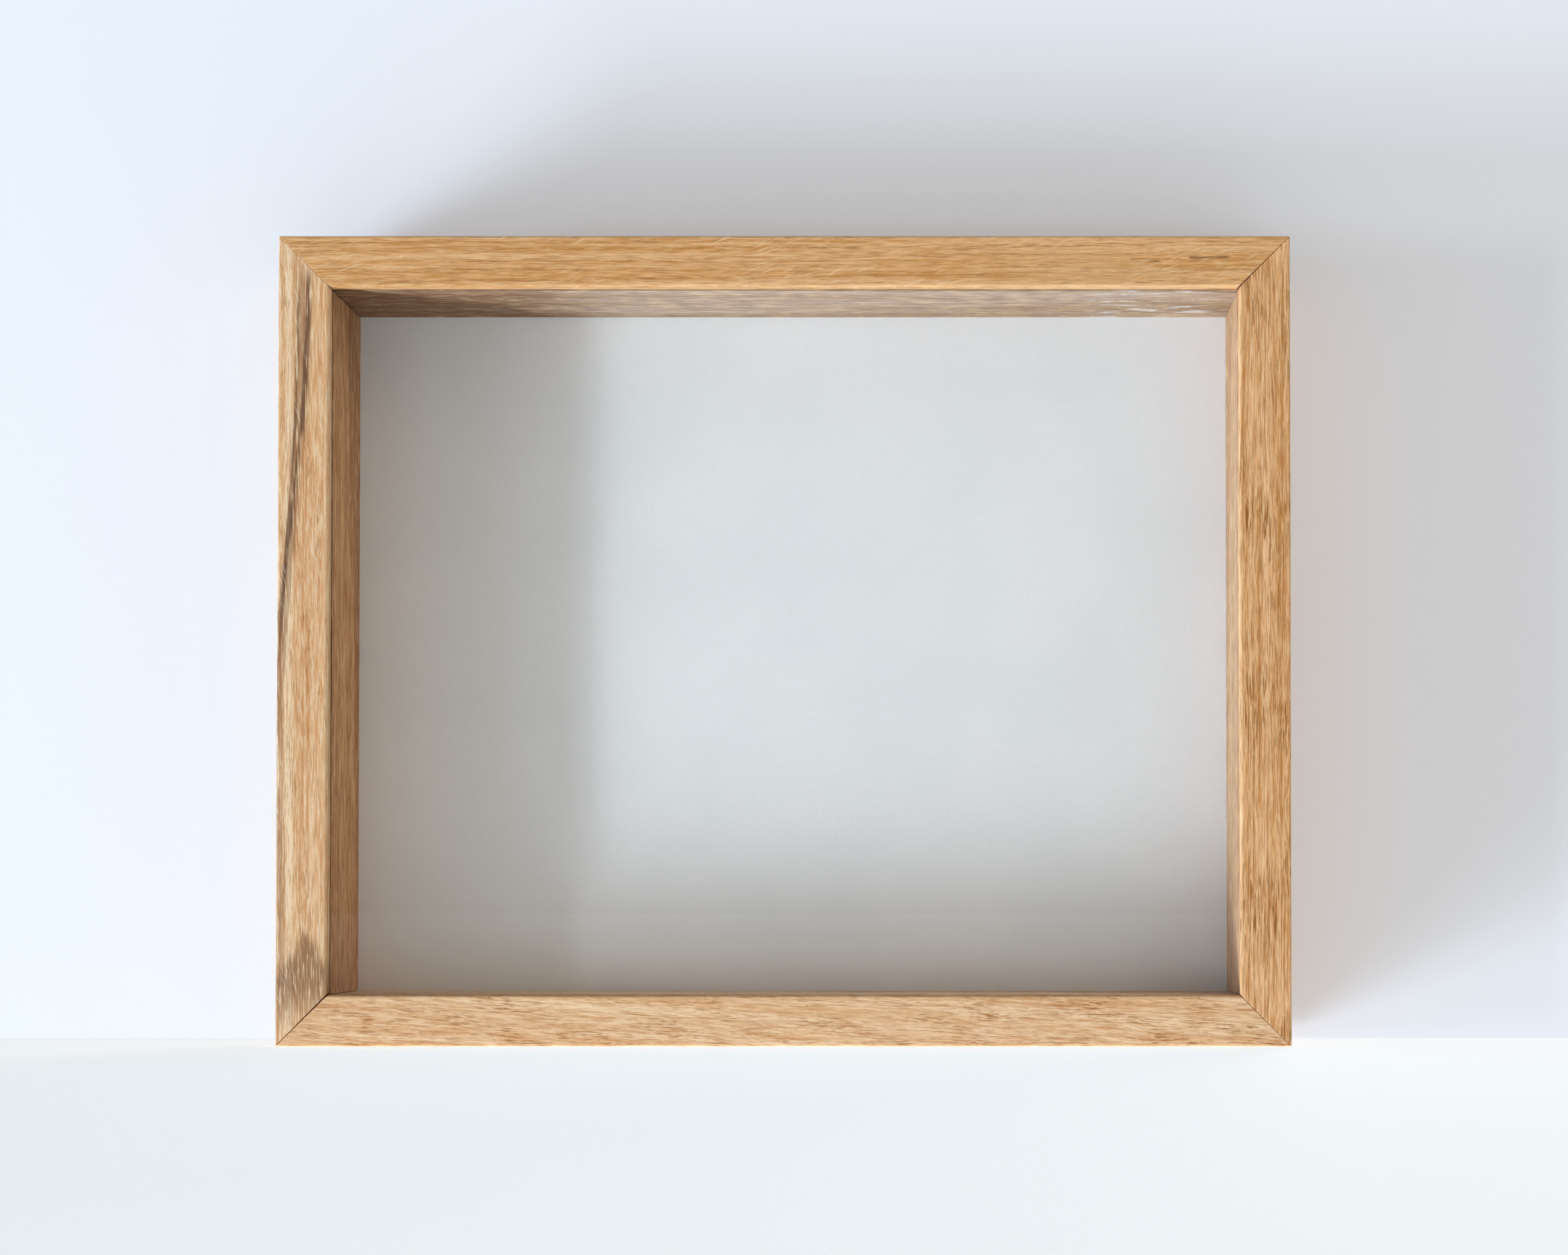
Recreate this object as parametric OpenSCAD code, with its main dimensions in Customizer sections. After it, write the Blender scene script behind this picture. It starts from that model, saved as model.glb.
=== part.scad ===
// Wooden shadow box: four mitred rails with a glazed front, a deep spacer lining,
// a white display panel and a back board held in by turn buttons.
// Millimetres. X is the width, Z is up, the glazed front looks along -Y.
// The origin is under the middle of the box, on the surface that it stands on.

/* [Frame] */
// Width over the rails
outer_w = 386; // [300:1:600]
// Height over the rails
outer_h = 309; // [290:1:500]
// Width of a rail's front face
face_w = 19.5; // [17:0.5:35]
// Thickness of the lip in front of the glazing
lip_t = 4.5; // [3.5:0.5:8]
// How far the lip covers the glazing
lip_cover = 5; // [3:0.5:6]
// Rounding of the lip's inner front edge
lip_round = 1.1; // [0.4:0.1:2]
// Rounding of the outer long edges
edge_round = 0.8; // [0.3:0.1:1.5]
// Open joint left at each rail's mitred end, across the mitre
mitre_gap = 0.08; // [0.02:0.02:0.4]

/* [Contents] */
// Thickness of the glazing
glazing_t = 2; // [1:0.5:4]
// Clear depth from the glazing to the display panel
display_d = 38.5; // [20:0.5:80]
// Thickness of the display panel
panel_t = 3; // [1.5:0.5:6]
// Thickness of the back board
board_t = 3; // [2:0.5:6]
// How far the back board lies below the rails' back faces
board_recess = 0.2; // [0:0.1:2]
// Gap round the sheets and behind the spacers, on each side
sheet_gap = 0.2; // [0.1:0.1:0.8]

/* [Turn buttons] */
// Width of a turn button
button_w = 9; // [8:0.5:12]
// From a button's screw to the middle of its round tip
button_reach = 15; // [12:0.5:24]
// Thickness of a button
button_t = 1.2; // [0.8:0.1:2]
// From the middle of a long rail to its two buttons
button_offset = 80; // [50:1:90]
// Radius of the buttons' screws
button_screw_r = 1.75; // [1.5:0.05:2]
// Clearance of a button's hole round its screw
button_fit = 0.06; // [0.02:0.01:0.1]

/* [Hangers] */
// Height of the D-rings' pivots above the box's foot
hanger_z = 225; // [210:1:240]
// Width of a hanger's strap
strap_w = 9; // [7:0.5:10]
// Thickness of the folded strap
strap_t = 1.6; // [1:0.1:2]
// Thickness of the strap's sheet, where it rolls round the ring
strap_sheet = 0.8; // [0.5:0.1:1]
// Radius of the D-ring's wire
ring_wire_r = 1.1; // [0.8:0.1:1.2]
// Length of the D-ring's straight legs
ring_leg = 6.5; // [6:0.5:10]
// Clearance between the ring's bar and the strap's roll
ring_fit = 0.08; // [0.02:0.01:0.1]
// From the ring's pivot to the first screw
strap_screw_1 = 6; // [5.5:0.5:7]
// From the ring's pivot to the second screw
strap_screw_2 = 18; // [17.5:0.5:24]
// Radius of the hangers' screws
hanger_screw_r = 1.5; // [1.2:0.05:1.7]

/* [Bumpers] */
// Radius of a rubber bumper
bumper_r = 5.5; // [4:0.5:7]
// Height of a bumper, which is the gap to the wall
bumper_h = 5; // [4.8:0.1:10]
// From the box's sides to the bumpers
bumper_inset = 28; // [24:1:35]

/* [Hidden] */
$fn = 48;

// Depths, from the front face
glazing_y = lip_t;
spacer_y = glazing_y + glazing_t;
panel_y = spacer_y + display_d;
board_y = panel_y + panel_t;
rail_d = board_y + board_t + board_recess;
front_y = -(rail_d + bumper_h) / 2;
back_y = front_y + rail_d;

// Opening behind the lip, which holds the sheets and the spacers
rabbet_w = outer_w - 2 * (face_w - lip_cover);
rabbet_h = outer_h - 2 * (face_w - lip_cover);
rail_back_w = face_w - lip_cover;
spacer_t = lip_cover - sheet_gap;
overshoot = 1;

// Screws: pan heads with a cross recess
head_r = 2.8;
head_h = 1.8;
screw_depth = 11;
cross_w = 0.8;
cross_depth = 1;

// Buttons lie just clear of the rails, and their screws' heads just clear of them
lift = 0.15;
button_head_y = lift + button_t + lift;
button_top_z = outer_h - rail_back_w / 2;
button_bottom_z = rail_back_w / 2;
button_side_z = outer_h / 2;
button_side_x = outer_w / 2 - rail_back_w / 2;

// D-ring, whose rest leans out by the angle at which its bow clears the strap
ring_gap = 0.5;
bow_r = strap_w / 2 + ring_gap + ring_wire_r;
bow_reach = ring_leg + bow_r;
roll_r = ring_wire_r + ring_fit + strap_sheet;
bow_clear = 0.3;
ring_lean = asin((strap_t + ring_wire_r + bow_clear - roll_r) / bow_reach);
strap_end = 4;

// Corner nails: bent steel strips driven across each mitre from behind
nail_leg = 4;
nail_t = 0.6;
nail_depth = 8;
nail_insets = [3.5, 9];

oak = "#d0a371";
oakPale = "#dcb88c";
steel = "#b9b7b0";

// Takes one quarter of a square corner off, leaving a round of radius r
module corner_cut(r) {
    difference() {
        translate([-overshoot, -overshoot]) square(r + overshoot);
        translate([r, r]) circle(r);
    }
}

// A rail's section: x is the depth from the front face, y is inward from the outer face
module rail_section() {
    difference() {
        square([rail_d, face_w]);
        translate([lip_t, face_w - lip_cover]) square([rail_d, face_w]);
        corner_cut(edge_round);
        translate([rail_d, 0]) mirror([1, 0]) corner_cut(edge_round);
        translate([0, face_w]) mirror([0, 1]) corner_cut(lip_round);
    }
}

// Outline between two mitres, drawn as seen from the front
module mitre_outline(length) {
    pull = mitre_gap * sqrt(2);
    polygon([
        [-length / 2 + pull, 0], [length / 2 - pull, 0],
        [length / 2 - pull - face_w, face_w], [-length / 2 + pull + face_w, face_w]
    ]);
}

// A bottom rail: runs along X, its outer face at z = 0
module rail(length) {
    intersection() {
        translate([0, front_y, 0])
            rotate([90, 0, 90]) linear_extrude(length, center = true) rail_section();
        translate([0, back_y + overshoot, 0])
            rotate([90, 0, 0]) linear_extrude(rail_d + 2 * overshoot) mitre_outline(length);
    }
}

// Moves a piece drawn for the bottom side to another side of the box
module on_side(side) {
    if (side == "bottom") children();
    if (side == "top") translate([0, 0, outer_h]) mirror([0, 0, 1]) children();
    if (side == "left") translate([-outer_w / 2, 0, outer_h / 2]) rotate([0, 90, 0]) children();
    if (side == "right") mirror([1, 0, 0]) on_side("left") children();
}

function side_length(side) = side == "top" || side == "bottom" ? outer_w : outer_h;

// Middles of the turn buttons along a side, and of the hangers' screws along a side rail
function button_places(side) =
    side == "top" || side == "bottom" ? [-button_offset, button_offset] : [0];
function hanger_places(side) =
    side == "top" || side == "bottom" ? [] :
    [for (down = [strap_screw_1, strap_screw_2]) outer_h / 2 - hanger_z + down];

// A pilot hole in a rail's back, over a screw's own shank
module pilot_hole(along, r) {
    translate([along, back_y - screw_depth, rail_back_w / 2])
        rotate([-90, 0, 0]) cylinder(r = r, h = screw_depth + overshoot);
}

module finished_rail(side) {
    color(oak) difference() {
        on_side(side) difference() {
            rail(side_length(side));
            for (along = button_places(side)) pilot_hole(along, button_screw_r);
            for (along = hanger_places(side)) pilot_hole(along, hanger_screw_r);
        }
        corner_nail_set();
    }
}

module rail_top() { finished_rail("top"); }
module rail_bottom() { finished_rail("bottom"); }
module rail_left() { finished_rail("left"); }
module rail_right() { finished_rail("right"); }

// One strip of the spacer lining, drawn for the bottom side
module spacer(length) {
    translate([-length / 2, front_y + spacer_y, face_w - spacer_t])
        cube([length, display_d, spacer_t]);
}

long_spacer = rabbet_w - 2 * sheet_gap;
short_spacer = rabbet_h - 2 * lip_cover - 2 * sheet_gap;
module spacer_top() { color(oakPale) on_side("top") spacer(long_spacer); }
module spacer_bottom() { color(oakPale) on_side("bottom") spacer(long_spacer); }
module spacer_left() { color(oakPale) on_side("left") spacer(short_spacer); }
module spacer_right() { color(oakPale) on_side("right") spacer(short_spacer); }

// A sheet that fills the rabbet, with its front at the given depth
module sheet(depth, thickness) {
    w = rabbet_w - 2 * sheet_gap;
    h = rabbet_h - 2 * sheet_gap;
    translate([-w / 2, front_y + depth, (outer_h - h) / 2]) cube([w, thickness, h]);
}

module glazing() { color("#dfe9ea", 0.3) sheet(glazing_y, glazing_t); }
module display_panel() { color("#eef1f1") sheet(panel_y, panel_t); }
module back_board() { color("#8d6a48") sheet(board_y, board_t); }

// One corner's nails, drawn at the lower left, with their corners on the mitre
module nail_pair() {
    for (inset = nail_insets) translate([-outer_w / 2 + inset, back_y - nail_depth, inset]) {
        cube([nail_leg, nail_depth, nail_t]);
        cube([nail_t, nail_depth, nail_leg]);
    }
}

module corner_nail_set() {
    for (flip_x = [0, 1]) mirror([flip_x, 0, 0]) {
        nail_pair();
        translate([0, 0, outer_h]) mirror([0, 0, 1]) nail_pair();
    }
}

module corner_nails() { color(steel) corner_nail_set(); }

// A flat button with round ends, its screw at the origin and its tip towards +Z
module turn_button() {
    color(steel) translate([0, back_y + lift + button_t, 0]) rotate([90, 0, 0])
        linear_extrude(button_t) difference() {
            union() {
                circle(d = button_w);
                translate([0, button_reach]) circle(d = button_w);
                translate([-button_w / 2, 0]) square([button_w, button_reach]);
            }
            circle(button_screw_r + button_fit);
        }
}

module turn_button_top_left() {
    translate([-button_offset, 0, button_top_z]) mirror([0, 0, 1]) turn_button();
}
module turn_button_top_right() {
    translate([button_offset, 0, button_top_z]) mirror([0, 0, 1]) turn_button();
}
module turn_button_bottom_left() { translate([-button_offset, 0, button_bottom_z]) turn_button(); }
module turn_button_bottom_right() { translate([button_offset, 0, button_bottom_z]) turn_button(); }
module turn_button_left() {
    translate([-button_side_x, 0, button_side_z]) rotate([0, 90, 0]) turn_button();
}
module turn_button_right() {
    translate([button_side_x, 0, button_side_z]) rotate([0, -90, 0]) turn_button();
}

// A pan-head screw along Y, its head's underside at the given height over the rails' backs
module pan_screw(r, under) {
    edge = head_h / 2;
    rotate([-90, 0, 0]) {
        translate([0, 0, -screw_depth]) cylinder(r = r, h = screw_depth + under);
        translate([0, 0, under]) difference() {
            rotate_extrude() union() {
                square([head_r, head_h - edge]);
                square([head_r - edge, head_h]);
                intersection() {
                    translate([head_r - edge, head_h - edge]) circle(edge);
                    square([head_r, head_h]);
                }
            }
            for (turn = [0, 90]) rotate(turn)
                translate([-head_r * 0.6, -cross_w / 2, head_h - cross_depth])
                    cube([head_r * 1.2, cross_w, cross_depth + overshoot]);
        }
    }
}

// Puts a screw on a side at a place along it
module side_screw(side, along, r, under) {
    on_side(side) translate([along, back_y, rail_back_w / 2]) pan_screw(r, under);
}

module turn_button_screws() {
    color(steel) for (side = ["top", "bottom", "left", "right"])
        for (along = button_places(side)) side_screw(side, along, button_screw_r, button_head_y);
}

module hanger_screws() {
    color(steel) for (side = ["left", "right"])
        for (along = hanger_places(side)) side_screw(side, along, hanger_screw_r, strap_t);
}

// A hanger's strap, its roll's axis through the origin along X, its plate downwards
module hanger_strap() {
    reach = strap_screw_2 + strap_end - strap_w / 2;
    color(steel) difference() {
        union() {
            rotate([0, 90, 0]) cylinder(r = roll_r, h = strap_w, center = true);
            translate([0, -roll_r + strap_t, 0]) rotate([90, 0, 0]) linear_extrude(strap_t) {
                translate([-strap_w / 2, -reach]) square([strap_w, reach]);
                translate([0, -reach]) circle(d = strap_w);
            }
        }
        rotate([0, 90, 0])
            cylinder(r = ring_wire_r + ring_fit, h = strap_w + 2 * overshoot, center = true);
        for (down = [strap_screw_1, strap_screw_2]) translate([0, -roll_r, -down])
            rotate([-90, 0, 0])
                translate([0, 0, -overshoot]) cylinder(r = hanger_screw_r, h = strap_t + 2 * overshoot);
    }
}

// A D-ring, its straight bar on the X axis and its bow hanging down
module d_ring() {
    color(steel) rotate([ring_lean, 0, 0]) {
        rotate([0, 90, 0]) cylinder(r = ring_wire_r, h = 2 * bow_r, center = true);
        for (x = [-bow_r, bow_r]) translate([x, 0, 0]) {
            sphere(ring_wire_r);
            translate([0, 0, -ring_leg]) cylinder(r = ring_wire_r, h = ring_leg);
        }
        translate([0, 0, -ring_leg]) rotate([90, 0, 0]) rotate(180)
            rotate_extrude(angle = 180) translate([bow_r, 0]) circle(ring_wire_r);
    }
}

module at_hanger(side) {
    translate([side * button_side_x, back_y + roll_r, hanger_z]) children();
}

module hanger_strap_left() { at_hanger(-1) hanger_strap(); }
module hanger_strap_right() { at_hanger(1) hanger_strap(); }
module d_ring_left() { at_hanger(-1) d_ring(); }
module d_ring_right() { at_hanger(1) d_ring(); }

// A rubber bumper with a rounded rim and a flat top
module bumper(x, z) {
    rim = bumper_h / 3;
    color("#3a3836") translate([x, back_y, z]) rotate([-90, 0, 0]) rotate_extrude() union() {
        square([bumper_r, bumper_h - rim]);
        square([bumper_r - rim, bumper_h]);
        intersection() {
            translate([bumper_r - rim, bumper_h - rim]) circle(rim);
            square([bumper_r, bumper_h]);
        }
    }
}

bumper_x = outer_w / 2 - bumper_inset;
module bumper_top_left() { bumper(-bumper_x, button_top_z); }
module bumper_top_right() { bumper(bumper_x, button_top_z); }
module bumper_bottom_left() { bumper(-bumper_x, button_bottom_z); }
module bumper_bottom_right() { bumper(bumper_x, button_bottom_z); }

rail_top();
rail_bottom();
rail_left();
rail_right();
spacer_top();
spacer_bottom();
spacer_left();
spacer_right();
glazing();
display_panel();
back_board();
corner_nails();
turn_button_top_left();
turn_button_top_right();
turn_button_bottom_left();
turn_button_bottom_right();
turn_button_left();
turn_button_right();
turn_button_screws();
hanger_strap_left();
hanger_strap_right();
d_ring_left();
d_ring_right();
hanger_screws();
bumper_top_left();
bumper_top_right();
bumper_bottom_left();
bumper_bottom_right();
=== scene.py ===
import math
import bmesh
import bpy
import numpy as np
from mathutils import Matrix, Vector


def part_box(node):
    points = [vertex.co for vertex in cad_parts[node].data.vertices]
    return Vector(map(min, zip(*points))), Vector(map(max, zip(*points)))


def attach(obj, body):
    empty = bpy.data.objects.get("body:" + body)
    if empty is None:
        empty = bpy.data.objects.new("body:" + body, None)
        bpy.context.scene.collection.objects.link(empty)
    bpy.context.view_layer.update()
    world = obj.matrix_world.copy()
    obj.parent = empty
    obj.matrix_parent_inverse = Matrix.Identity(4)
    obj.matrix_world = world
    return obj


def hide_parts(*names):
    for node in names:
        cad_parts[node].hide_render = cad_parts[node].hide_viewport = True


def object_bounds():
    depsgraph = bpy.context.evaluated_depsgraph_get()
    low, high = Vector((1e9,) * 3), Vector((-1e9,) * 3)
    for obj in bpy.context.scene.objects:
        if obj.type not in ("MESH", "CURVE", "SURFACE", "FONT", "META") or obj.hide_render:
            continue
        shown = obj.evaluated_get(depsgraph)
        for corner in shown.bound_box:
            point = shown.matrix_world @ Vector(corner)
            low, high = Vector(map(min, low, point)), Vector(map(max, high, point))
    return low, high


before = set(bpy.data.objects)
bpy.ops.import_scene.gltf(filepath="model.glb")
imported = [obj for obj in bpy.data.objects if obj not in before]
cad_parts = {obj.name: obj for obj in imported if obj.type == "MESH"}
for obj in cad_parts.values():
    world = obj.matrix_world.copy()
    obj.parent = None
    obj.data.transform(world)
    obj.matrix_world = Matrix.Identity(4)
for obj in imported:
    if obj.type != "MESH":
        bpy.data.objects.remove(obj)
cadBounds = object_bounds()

mm = 0.001
scene = bpy.context.scene
scene.view_settings.view_transform = "Standard"

# sizes read from the frame
railLow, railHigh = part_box("rail_bottom")
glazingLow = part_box("glazing")[0]
boxHigh = cadBounds[1]
boxWidth = 2 * boxHigh.x
boxHeight = boxHigh.z
frontY = railLow.y
backY = railHigh.y
faceWidth = railHigh.z
railDepth = backY - frontY
lipThickness = glazingLow.y - frontY
sheetGap = 0.2 * mm
rabbetWall = glazingLow.z - sheetGap
sides = ("top", "bottom", "left", "right")
print("frame read: box %.0f by %.0f mm" % (boxWidth / mm, boxHeight / mm))


# sRGB hex to the linear colour that the shaders take
def toLinear(hexColour):
    parts = [int(hexColour[i:i + 2], 16) / 255 for i in (1, 3, 5)]
    return tuple(c / 12.92 if c <= 0.04045 else ((c + 0.055) / 1.055) ** 2.4 for c in parts) + (1,)


# adds a node with its settings, and sets or links its inputs
def addNode(tree, kind, inputs=None, **settings):
    node = tree.nodes.new(kind)
    for key, value in settings.items():
        setattr(node, key, value)
    for key, value in (inputs or {}).items():
        if isinstance(value, bpy.types.NodeSocket):
            tree.links.new(value, node.inputs[key])
        else:
            node.inputs[key].default_value = value
    return node


def newMaterial(name):
    material = bpy.data.materials.new(name)
    material.use_nodes = True
    tree = material.node_tree
    return material, tree, tree.nodes["Principled BSDF"]


def math2(tree, operation, a, b=0.0, clamp=False):
    return addNode(tree, "ShaderNodeMath", {0: a, 1: b}, operation=operation, use_clamp=clamp).outputs[0]


# 0 below low, 1 above high, smooth between; low may be the larger
def between(tree, value, low, high):
    return addNode(tree, "ShaderNodeMapRange", {"Value": value, "From Min": low, "From Max": high},
                   interpolation_type="SMOOTHSTEP").outputs[0]


def tint(tree, share, under, over):
    return addNode(tree, "ShaderNodeMix", {0: share, 6: under, 7: over}, data_type="RGBA").outputs[2]


def times(tree, a, b):
    return math2(tree, "MULTIPLY", a, b)


def plus(tree, a, b, clamp=False):
    return math2(tree, "ADD", a, b, clamp)


def minus(tree, a, b):
    return math2(tree, "SUBTRACT", a, b)


# another colour laid over the colour where the mask is, to the given strength
def stain(tree, colour, mask, strength, hexColour):
    return tint(tree, times(tree, mask, strength), colour, toLinear(hexColour))


# noise of places in mm, with grains of the given length, width and depth in mm
def grains(tree, places, size, detail=2.0, rough=0.5, output="Fac"):
    scaled = addNode(tree, "ShaderNodeVectorMath", {0: places, 1: tuple(1 / s for s in size)},
                     operation="MULTIPLY")
    return addNode(tree, "ShaderNodeTexNoise", {"Vector": scaled.outputs[0], "Scale": 1.0, "Detail": detail,
                                                "Roughness": rough}).outputs[output]


# object coordinates in mm
def placesInMm(tree):
    place = addNode(tree, "ShaderNodeTexCoord").outputs["Object"]
    return addNode(tree, "ShaderNodeVectorMath", {0: place, "Scale": 1 / mm}, operation="SCALE").outputs[0]


# a wander of about -1 to 1: a sum of sines of t with seeded phases, the slow ones larger
def smoothWave(t, seed, cycles=6):
    draws = np.random.default_rng(seed).uniform(0, 2 * np.pi, cycles)
    total = sum(np.sin((k + 1) * 2.3 * t + draws[k]) / (k + 1) ** 0.7 for k in range(cycles))
    return total / 2.2


# rows of points, each a closed loop: neighbouring rows are joined by quads, and the two ends may be closed by a
# face each
def meshFromGrid(name, points, wrapRows=False, capEnds=False, sharpAngle=40):
    rows, columns = points.shape[:2]
    index = np.arange(rows * columns).reshape(rows, columns)
    nextRow = np.roll(index, -1, axis=0) if wrapRows else index[1:]
    here = index if wrapRows else index[:-1]
    quads = np.stack([here, nextRow, np.roll(nextRow, -1, axis=1), np.roll(here, -1, axis=1)], axis=-1)
    caps = [index[0].tolist(), index[-1][::-1].tolist()] if capEnds else []
    mesh = bpy.data.meshes.new(name)
    mesh.from_pydata(points.reshape(-1, 3).tolist(), [], quads.reshape(-1, 4).tolist() + caps)
    mesh.polygons.foreach_set("use_smooth", np.ones(len(mesh.polygons), bool))
    volume = bmesh.new()
    volume.from_mesh(mesh)
    if volume.calc_volume(signed=True) < 0:     # faces must look outward
        mesh.flip_normals()
    volume.free()
    mesh.set_sharp_from_angle(angle=math.radians(sharpAngle))
    mesh.update()
    piece = bpy.data.objects.new(name, mesh)
    scene.collection.objects.link(piece)
    return piece


# keeps one number, or three, for every point of the mesh, for its material to read
def storeOnPoints(piece, name, values):
    kind = "FLOAT_VECTOR" if values.ndim == 2 else "FLOAT"
    field = "vector" if values.ndim == 2 else "value"
    attribute = piece.data.attributes.new(name, kind, "POINT")
    attribute.data.foreach_set(field, values.astype(np.float32).ravel())


# the new piece stands for a CAD node, takes its finish from a slot and rides on a body
def standFor(piece, node, body, material):
    piece.data.materials.append(material)
    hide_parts(node)
    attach(piece, body)


# a CAD node keeps its shape and gets its material
def paint(node, material):
    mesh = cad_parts[node].data
    mesh.materials.clear()
    mesh.materials.append(material)


# places of points given along a side, behind the front face and in from the outer face
def placeOnSide(side, along, depth, inward):
    y = frontY + depth + 0 * along
    if side == "bottom":
        return np.stack([along, y, inward + 0 * along], axis=-1)
    if side == "top":
        return np.stack([along, y, boxHeight - inward + 0 * along], axis=-1)
    sign = -1 if side == "left" else 1
    return np.stack([sign * (boxWidth / 2 - inward) + 0 * along, y, boxHeight / 2 + along], axis=-1)


# points on an arc, in degrees, without its last one
def arcPoints(centre, radius, start, end, count):
    angle = np.radians(np.linspace(start, end, count, endpoint=False))
    return np.stack([centre[0] + radius * np.cos(angle), centre[1] + radius * np.sin(angle)], axis=-1)


# evenly spaced points from a up to b, without b itself
def linePoints(a, b, count):
    t = np.linspace(0, 1, count, endpoint=False)[:, None]
    return np.array(a) * (1 - t) + np.array(b) * t


# sizes in mm (along, across, deep) of the oak's figure
oakSizes = dict(
    broad=(260, 4, 4), fibre=(9, 0.55, 0.55), line=(160, 1.2, 1.2),
    streakRag=(16, 0.8, 0.8), streakFibre=(40, 0.8, 0.8), patchRag=(14, 0.7, 0.7),
    poreCrowd=(45, 6, 6), rayGroup=(60, 9, 9), paintedSheen=(17, 1.3, 4), wear=(9, 2, 2))

# the two levels, of noise, of a share or of mm, between which each part of the figure comes in
oakLevels = dict(
    earlyIn=(0.0, 0.18), earlyOut=(0.75, 0.25), broad=(0.4, 0.6), line=(0.5, 0.68),
    darkFibre=(0.5, 0.66), paleFibre=(0.5, 0.34),
    streakWidth=(1.0, 0.2), streakFibre=(0.7, 0.95), streakDepth=(16, 4), streakIn=(0.0, 0.06),
    streakOut=(1.0, 0.85), patchFibre=(0.28, 0.5),
    shortPore=(0.62, 0.7), ray=(0.6, 0.7), rayGroup=(0.45, 0.6), rayDepth=(5, 0.5),
    paintedSheen=(0.53, 0.6), wear=(0.3, 0.6))


# places moved to the side and into the board by the wave, times the reach
def bend(tree, places, wave, reach):
    return addNode(tree, "ShaderNodeVectorMath", {0: wave, 1: (0, reach, reach), 2: places},
                   operation="MULTIPLY_ADD").outputs[0]


# a streak of darker heartwood: from begin to end, along the rail, it follows a route in from the outer face
def streakMask(tree, streak, along, inward, depth, bent, fibre):
    share = addNode(tree, "ShaderNodeMapRange", {"Value": along, "From Min": streak["begin"],
                                                 "From Max": streak["end"]}).outputs[0]
    curve = addNode(tree, "ShaderNodeFloatCurve", {"Value": share})
    points = curve.mapping.curves[0].points
    points[0].location = streak["route"][0]
    points[1].location = streak["route"][-1]
    for spot in streak["route"][1:-1]:
        points.new(*spot)
    curve.mapping.update()
    middle = times(tree, curve.outputs[0], faceWidth / mm)
    away = math2(tree, "ABSOLUTE", minus(tree, inward, middle))
    rag = times(tree, minus(tree, grains(tree, bent, oakSizes["streakRag"], 3.0), 0.5), streak["ragged"])
    width = addNode(tree, "ShaderNodeMapRange", {"Value": share, "To Min": streak["widths"][0],
                                                 "To Max": streak["widths"][1]}).outputs[0]
    mask = between(tree, math2(tree, "DIVIDE", plus(tree, away, rag), width), *oakLevels["streakWidth"])
    fibres = plus(tree, fibre, grains(tree, bent, oakSizes["streakFibre"]))
    mask = times(tree, mask, between(tree, fibres, *oakLevels["streakFibre"]))
    mask = times(tree, mask, between(tree, depth, *oakLevels["streakDepth"]))
    beginning = between(tree, share, *oakLevels["streakIn"])
    ending = between(tree, share, *oakLevels["streakOut"])
    return times(tree, mask, times(tree, beginning, ending))


# a patch of darker or paler wood, also used for painted shade: an arrowhead of ragged fibres pointing along the
# rail
def patchAndShadeMask(tree, patch, along, inward, bent, fibre):
    side = math2(tree, "ABSOLUTE", minus(tree, inward, patch["inward"]))
    rag = times(tree, minus(tree, grains(tree, bent, oakSizes["patchRag"], 3.0), 0.5), patch["ragged"])
    tip = plus(tree, times(tree, minus(tree, along, patch["tip"]), patch["way"]), rag)
    mask = between(tree, minus(tree, tip, times(tree, side, patch["spread"])), 0.0, patch["fade"])
    mask = times(tree, mask, between(tree, tip, patch["length"], patch["length"] * 0.5))
    return times(tree, mask, between(tree, fibre, *oakLevels["patchFibre"]))


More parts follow.
